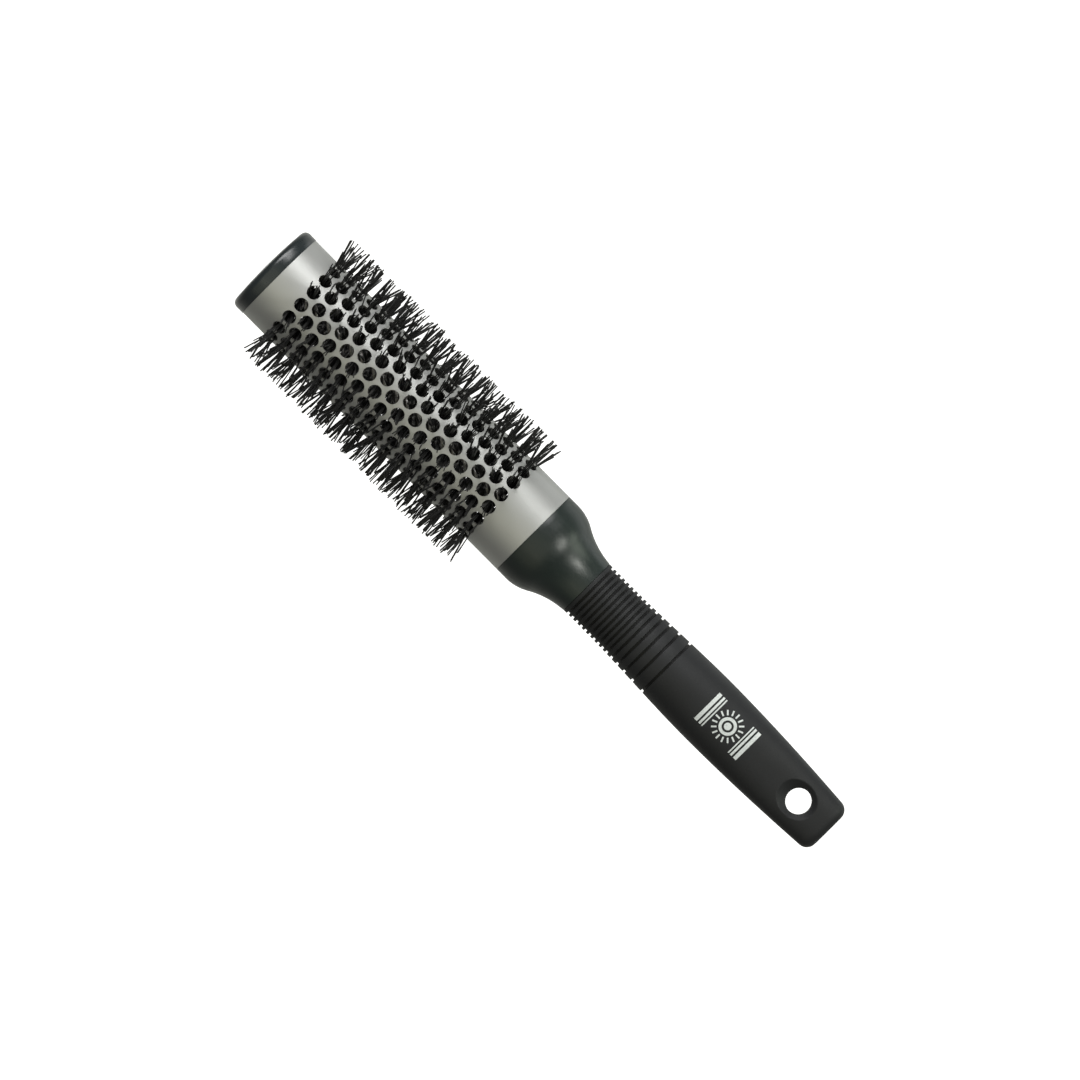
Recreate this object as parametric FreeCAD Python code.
"""Round thermal barrel brush: a perforated barrel on a rigid handle core with a soft ribbed grip.

A stem of two twisted wires runs down the middle of the barrel and clamps nylon filaments between
its strands.  The filaments leave the barrel through rings of holes, one tuft to a hole.

Frame, in millimetres: the origin is the centre of the hanging hole, +X runs along the brush towards
the barrel's end cap, +Z is the hanging hole's axis, so the brush lies with its flat side up.
"""

import FreeCAD
import Part
import math
import os

Vector = FreeCAD.Vector

# ---------------------------------------------------------------- driving dimensions
# Handle grip, from the hanging hole
tail_length = 13.1            # hanging hole to the handle's end
plain_grip_length = 58.8      # hanging hole to the nearest groove
fine_pitch = 1.89             # groove spacing at the neck end
fine_grooves = 10             # grooves at that even spacing
coarse_grooves = 5            # grooves whose spacing grows towards the plain grip
pitch_growth = 1.19           # each coarse spacing over the one before it
groove_width = 0.84
groove_depth = 0.75
groove_edge = 0.2             # chamfer along each rib's edges
grip_front_land = 1.85        # first groove to the sleeve's front edge
waist_radius = 10.15          # the ribbed stretch, at its slimmest
belly_half_width = 11.28      # the plain grip, at its widest
belly_from_hole = 40.0        # where it is widest, from the hanging hole
waist_from_belly = 44.0       # from there to where the ribbed stretch is slimmest
tail_half_width = 9.1
tail_half_thickness = 6.2
round_until = 57.0            # the section is a circle from the neck down to this distance from the hole
tail_flatness = 3.0           # superellipse power of the section at the tail, where 2 is an ellipse
tail_corner = 3.2             # rounding of the handle's end
grip_wall = 2.6               # sleeve over the tang

# Hanging hole
hang_hole_radius = 4.2
hang_dish_radius = 6.65
hang_dish_depth = 1.8
hang_lining = 1.4             # sleeve material that lines the hole through the tang

# Neck
neck_length = 23.7            # barrel seat to the sleeve's front edge
neck_shoulder = 4.0           # straight stretch beside the barrel
neck_sweep = 21.6             # length of the double curve down to the waist
neck_convex_share = 0.35      # the convex arc's share of the double curve
neck_wall = 2.0               # wall of the hollow behind the barrel
neck_hollow = 5.0             # depth of that hollow behind the barrel's seat
spigot_length = 11.0

# Barrel
barrel_diameter = 32.0
barrel_wall = 0.8
barrel_length = 112.6
hole_diameter = 4.45
ring_count = 18
holes_per_ring = 18
cap_end_band = 11.5           # barrel's end to the first ring of holes
neck_end_band = 15.5          # last ring of holes to the barrel's seat
first_hole_angle = 5.0        # of an odd ring, from +Z towards +Y, in degrees

# End cap
cap_length = 5.25
cap_proud = 0.15              # cap over the barrel's outside
cap_corner = 2.0
cap_dome = 0.6
cap_skirt_length = 7.0
cap_wall = 1.6

# Stem and bristles
wire_diameter = 1.8
wire_gap = 0.4                # between the two strands, where the filaments are clamped
stem_socket_depth = 30.0      # stem's depth in the handle core, from the spigot's front
stem_cap_seat = 4.0           # stem's depth in the cap's boss
stem_end_gap = 0.5            # stem's ends from the bottoms of their sockets
boss_wall = 2.4
bristle_reach = 9.0           # bristle tips, from the barrel's outside
tuft_root_start = 0.3         # tuft's inner end, from the barrel's axis
tuft_root_radius = 0.16
tuft_tip_radius = 1.0

# Overmoulding keys: holes across the tang that the sleeve fills
key_radius = 2.4
key_count = 3

# Clearances
fit_clearance = 0.05          # radial, spigot and skirt in the barrel, stem in its sockets

# ---------------------------------------------------------------- places that follow from them
coarse_pitches = [fine_pitch * pitch_growth ** (k + 1) for k in range(coarse_grooves)]
groove_places = [plain_grip_length]
for spacing in reversed(coarse_pitches):
    groove_places.append(groove_places[-1] + spacing)
for _ in range(fine_grooves - 1):
    groove_places.append(groove_places[-1] + fine_pitch)
grip_front = groove_places[-1] + grip_front_land
barrel_seat = grip_front + neck_length
barrel_end = barrel_seat + barrel_length
barrel_radius = barrel_diameter / 2
barrel_bore = barrel_radius - barrel_wall
ring_pitch = (barrel_length - cap_end_band - neck_end_band) / (ring_count - 1)
wire_centre = (wire_diameter + wire_gap) / 2
stem_radius = wire_centre + wire_diameter / 2
stem_bore = stem_radius + fit_clearance
stem_start = barrel_seat + spigot_length - stem_socket_depth
boss_face = barrel_end - cap_skirt_length
stem_end = boss_face + stem_cap_seat
twist_pitch = 2 * ring_pitch  # so one ring's tufts take half a turn of the strands
first_ring = barrel_end - cap_end_band
hole_step = 360.0 / holes_per_ring
tip_radius = barrel_radius + bristle_reach
tail_end = -tail_length


# ---------------------------------------------------------------- the handle's outline
def ease(s):
    """Smooth step from 0 to 1."""
    s = min(max(s, 0.0), 1.0)
    return s * s * (3 - 2 * s)


def half_width(x):
    """Half of the handle's width at x: waist, belly, then an easy curve down to the tail."""
    if x > belly_from_hole:
        s = (belly_from_hole + waist_from_belly - x) / waist_from_belly
        return waist_radius + (belly_half_width - waist_radius) * ease(s)
    s = (belly_from_hole - x) / (belly_from_hole + tail_length)
    return belly_half_width - (belly_half_width - tail_half_width) * s ** 1.8


def half_thickness(x):
    """Half of the handle's thickness at x: as wide as it is high up to the plain grip, then flatter."""
    s = ease((round_until - x) / (round_until + tail_length))
    return half_width(x) + (tail_half_thickness - tail_half_width) * s


def flatness(x):
    """Superellipse power of the handle's section at x."""
    return 2 + (tail_flatness - 2) * ease((round_until - x) / round_until)


def section(x, inset=0.0, points=32):
    """Closed smooth section of the handle at x, as a wire, taken in by inset."""
    a, b, power = half_width(x) - inset, half_thickness(x) - inset, flatness(x)
    ring = []
    for k in range(points):
        t = 2 * math.pi * k / points
        c, s = math.cos(t), math.sin(t)
        y = a * math.copysign(abs(c) ** (2 / power), c)
        z = b * math.copysign(abs(s) ** (2 / power), s)
        ring.append(Vector(x, y, z))
    curve = Part.BSplineCurve()
    curve.interpolate(Points=ring, PeriodicFlag=True)
    return Part.Wire([curve.toShape()])


def handle_loft(start, end, inset, stations):
    """Solid of the handle's outline between two places, taken in by inset."""
    places = [start + (end - start) * k / (stations - 1) for k in range(stations)]
    return Part.makeLoft([section(x, inset) for x in places], True, False)


def turned(points_and_arcs):
    """Solid turned about the X axis from a closed outline of (x, radius) points and ("arc", mid, end)."""
    edges = []
    here = points_and_arcs[0]
    for item in points_and_arcs[1:]:
        if item[0] == "arc":
            mid, end = item[1], item[2]
            a, b, c = (Vector(p[0], 0, p[1]) for p in (here, mid, end))
            edges.append(Part.Arc(a, b, c).toShape())
            here = end
        else:
            edges.append(Part.makeLine(Vector(here[0], 0, here[1]), Vector(item[0], 0, item[1])))
            here = item
    face = Part.Face(Part.Wire(edges))
    solid = face.revolve(Vector(0, 0, 0), Vector(1, 0, 0), 360)
    return solid


def cylinder_x(radius, start, end):
    """Cylinder on the X axis between two places."""
    return Part.makeCylinder(radius, end - start, Vector(start, 0, 0), Vector(1, 0, 0))


def radial(angle):
    """Unit vector across the barrel at an angle from +Z towards +Y, in degrees."""
    a = math.radians(angle)
    return Vector(0, math.sin(a), math.cos(a))


# ---------------------------------------------------------------- barrel holes and tufts
def rings():
    """Each ring of holes as (number, x, angles of its holes), from the cap's end."""
    for r in range(ring_count):
        first = first_hole_angle + (hole_step / 2 if r % 2 else 0.0)
        yield r + 1, first_ring - r * ring_pitch, [first + hole_step * k for k in range(holes_per_ring)]


def barrel_tube():
    """Thin tube with staggered rings of round holes."""
    tube = cylinder_x(barrel_radius, barrel_seat, barrel_end)
    tube = tube.cut(cylinder_x(barrel_bore, barrel_seat - 1, barrel_end + 1))
    drills = []
    for _, x, angles in rings():
        for angle in angles:
            out = radial(angle)
            start = Vector(x, 0, 0) + out * (barrel_bore - 2 * barrel_wall)
            drills.append(Part.makeCylinder(hole_diameter / 2, 4 * barrel_wall, start, out))
    return tube.cut(drills)


def bristle_ring(x, angles):
    """Tufts of one ring, each a slim cone from between the stem's strands out through its hole."""
    tufts = []
    half = len(angles) // 2
    for k, angle in enumerate(angles):
        # Opposite tufts share a root, and the roots step along the stem as its strands turn.
        root_x = x + ((half - 1) / 2 - k % half) * ring_pitch / half
        out = radial(angle)
        root = Vector(root_x, 0, 0) + out * tuft_root_start
        through = Vector(x, 0, 0) + out * barrel_radius
        direction = (through - root).normalize()
        reach = (tip_radius - tuft_root_start) / direction.dot(out)
        tufts.append(Part.makeCone(tuft_root_radius, tuft_tip_radius, reach, root, direction))
    return Part.makeCompound(tufts)


# ---------------------------------------------------------------- stem
def stem_wire(side):
    """One strand of the twisted stem, a helix of round wire, on side 1 or -1 of the filaments."""
    margin = wire_diameter
    start = stem_start - margin
    helix = Part.makeHelix(twist_pitch, stem_end - stem_start + 2 * margin, wire_centre)
    curve = helix.Edges[0]
    first = curve.FirstParameter
    ring = Part.Wire([Part.makeCircle(wire_diameter / 2, curve.valueAt(first), curve.tangentAt(first))])
    strand = Part.Wire(helix.Edges).makePipeShell([ring], True, True)
    strand.rotate(Vector(0, 0, 0), Vector(0, 1, 0), 90)
    strand.translate(Vector(start, 0, 0))
    # The helix now starts at -Z and turns towards +Y.  The middle root of the first ring lies at
    # right angles to the strands, give or take the quarter step that suits both kinds of ring.
    middle_root = first_hole_angle + hole_step * (holes_per_ring / 2 - 1) / 2 + hole_step / 4
    helix_angle = 180 - 360 * (first_ring - start) / twist_pitch
    strand.rotate(Vector(0, 0, 0), Vector(-1, 0, 0), middle_root + 90 * side - helix_angle)
    # The sweep's ends lean with the helix, so they are squared off.
    return strand.common(cylinder_x(2 * stem_radius, stem_start + stem_end_gap, stem_end - stem_end_gap))


# ---------------------------------------------------------------- end cap
def end_cap():
    """Domed cap with a skirt in the barrel and a boss that steadies the stem."""
    outer = barrel_radius + cap_proud
    skirt = barrel_bore - fit_clearance
    face = barrel_end + cap_length - cap_dome
    flat = outer - cap_corner
    root = 0.5 ** 0.5 * cap_corner
    # The dome is a shallow part of a sphere centred on the axis.
    sphere = (flat ** 2 + cap_dome ** 2) / (2 * cap_dome)
    half_arc = math.asin(flat / sphere) / 2
    mid_dome = (face + cap_dome - sphere * (1 - math.cos(half_arc)), sphere * math.sin(half_arc))
    shell = turned([
        (boss_face, skirt - cap_wall),
        (boss_face, skirt),
        (barrel_end, skirt),
        (barrel_end, outer),
        (face - cap_corner, outer),
        ("arc", (face - cap_corner + root, flat + root), (face, flat)),
        ("arc", mid_dome, (face + cap_dome, 0)),
        (face - cap_wall, 0),
        (face - cap_wall, skirt - cap_wall),
        (boss_face, skirt - cap_wall),
    ])
    boss = cylinder_x(stem_bore + boss_wall, boss_face, face - cap_wall)
    boss = boss.cut(cylinder_x(stem_bore, boss_face - 1, stem_end))
    return shell.fuse(boss).removeSplitter()


# ---------------------------------------------------------------- handle core
def neck_outline():
    """(x, radius) and arcs of the neck from the barrel's seat to the sleeve's front, and its last radius."""
    drop = barrel_radius - waist_radius
    turn = 2 * math.atan2(drop, neck_sweep)
    total = neck_sweep / math.sin(turn)
    convex, concave = neck_convex_share * total, (1 - neck_convex_share) * total
    start = barrel_seat - neck_shoulder
    finish = start - neck_sweep

    def on_convex(a):
        return (start - convex * math.sin(a), barrel_radius - convex * (1 - math.cos(a)))

    def on_concave(a):
        return (finish + concave * math.sin(a), waist_radius + concave * (1 - math.cos(a)))

    last = math.asin((grip_front - finish) / concave)
    middle = (turn + last) / 2
    outline = [
        (start, barrel_radius),
        ("arc", on_convex(turn / 2), on_convex(turn)),
        ("arc", on_concave(middle), on_concave(last)),
    ]
    return outline, on_concave(last)[1]


def handle_core():
    """Rigid neck with a hollow spigot for the barrel, a socket for the stem, and the tang in the grip."""
    outline, front_radius = neck_outline()
    spigot = barrel_bore - fit_clearance
    spigot_end = barrel_seat + spigot_length
    hollow = spigot - neck_wall
    boss = stem_bore + boss_wall
    neck = turned([
        (grip_front, 0),
        (grip_front, front_radius),
        ("arc", outline[2][1], outline[1][2]),
        ("arc", outline[1][1], outline[0]),
        (barrel_seat, barrel_radius),
        (barrel_seat, spigot),
        (spigot_end, spigot),
        (spigot_end, hollow),
        (barrel_seat - neck_hollow, hollow),
        (barrel_seat - neck_hollow, boss),
        (spigot_end, boss),
        (spigot_end, 0),
        (grip_front, 0),
    ])
    # The tang starts inside the neck, so the two join through the neck's rear face.
    tang = handle_loft(grip_front + neck_wall, tail_end + grip_wall, grip_wall, 22)
    core = neck.fuse(tang)
    core = core.cut(cylinder_x(stem_bore, stem_start, spigot_end + 1))
    across = Vector(0, 0, -barrel_diameter)
    holes = [Part.makeCylinder(hang_hole_radius + hang_lining, 2 * barrel_diameter, across, Vector(0, 0, 1))]
    key_run = plain_grip_length - hang_hole_radius
    for k in range(key_count):
        place = Vector(hang_hole_radius + key_run * (k + 1) / (key_count + 1), 0, 0)
        holes.append(Part.makeCylinder(key_radius, 2 * barrel_diameter, across + place, Vector(0, 0, 1)))
    return core.cut(holes)


# ---------------------------------------------------------------- grip sleeve
def ribbed_stretch():
    """Turned stretch with all the grooves, whose last groove's floor meets the plain grip."""
    half = groove_width / 2
    plain_end = plain_grip_length - half
    outline = [(grip_front, 0), (grip_front, half_width(grip_front))]
    for x in reversed(groove_places):
        radius = half_width(x)
        outline.append((x + half + groove_edge, radius))
        outline.append((x + half, radius - groove_edge))
        outline.append((x + half, radius - groove_depth))
        if x > plain_grip_length:
            outline.append((x - half, radius - groove_depth))
            outline.append((x - half, radius - groove_edge))
            outline.append((x - half - groove_edge, radius))
        else:
            outline.append((plain_end, radius - groove_depth))
    outline.append((plain_end, 0))
    outline.append((grip_front, 0))
    return turned(outline)


def plain_grip():
    """Smooth stretch from the last groove down to the rounded tail, with the dished hanging hole."""
    front = plain_grip_length - groove_width / 2
    body = handle_loft(front, tail_end, 0.0, 20)

    def rim(place):
        return [e for e in body.Edges if abs(e.BoundBox.XMin - place) < 0.01 and e.BoundBox.XLength < 0.02]

    body = body.makeFillet(tail_corner, rim(tail_end))
    body = body.makeFillet(groove_edge, rim(front))
    # The dish's cone runs on past the surface, to twice the dish's depth.
    top = half_thickness(0.0)
    wide = 2 * hang_dish_radius - hang_hole_radius
    cuts = [Part.makeCylinder(hang_hole_radius, 4 * top, Vector(0, 0, -2 * top), Vector(0, 0, 1))]
    for side in (1, -1):
        start = Vector(0, 0, side * (top - hang_dish_depth))
        cuts.append(Part.makeCone(hang_hole_radius, wide, 2 * hang_dish_depth, start, Vector(0, 0, side)))
    return body.cut(cuts)


def grip_sleeve(core):
    """Soft sleeve moulded over the tang: ribbed by the neck, plain down to the hanging hole."""
    return ribbed_stretch().fuse(plain_grip()).cut(core)


# ---------------------------------------------------------------- build
def export(name, shape):
    """Checks that a node is made of closed valid solids, and writes it."""
    solids = shape.Solids
    if not solids or not all(s.isValid() and s.isClosed() and s.Volume > 0 for s in solids):
        raise RuntimeError(name + " is not made of closed solids")
    kept = solids[0] if len(solids) == 1 else Part.makeCompound(solids)
    kept.exportStep("parts/" + name + ".step")
    print(name, len(solids), "solid(s),", round(sum(s.Volume for s in solids), 1), "mm3")


def main():
    os.makedirs("parts", exist_ok=True)
    core = handle_core()
    export("handle_core", core)
    export("grip_sleeve", grip_sleeve(core))
    export("barrel_tube", barrel_tube())
    export("end_cap", end_cap())
    export("stem_wire_a", stem_wire(1))
    export("stem_wire_b", stem_wire(-1))
    for number, x, angles in rings():
        export("bristle_ring_%02d" % number, bristle_ring(x, angles))


main()
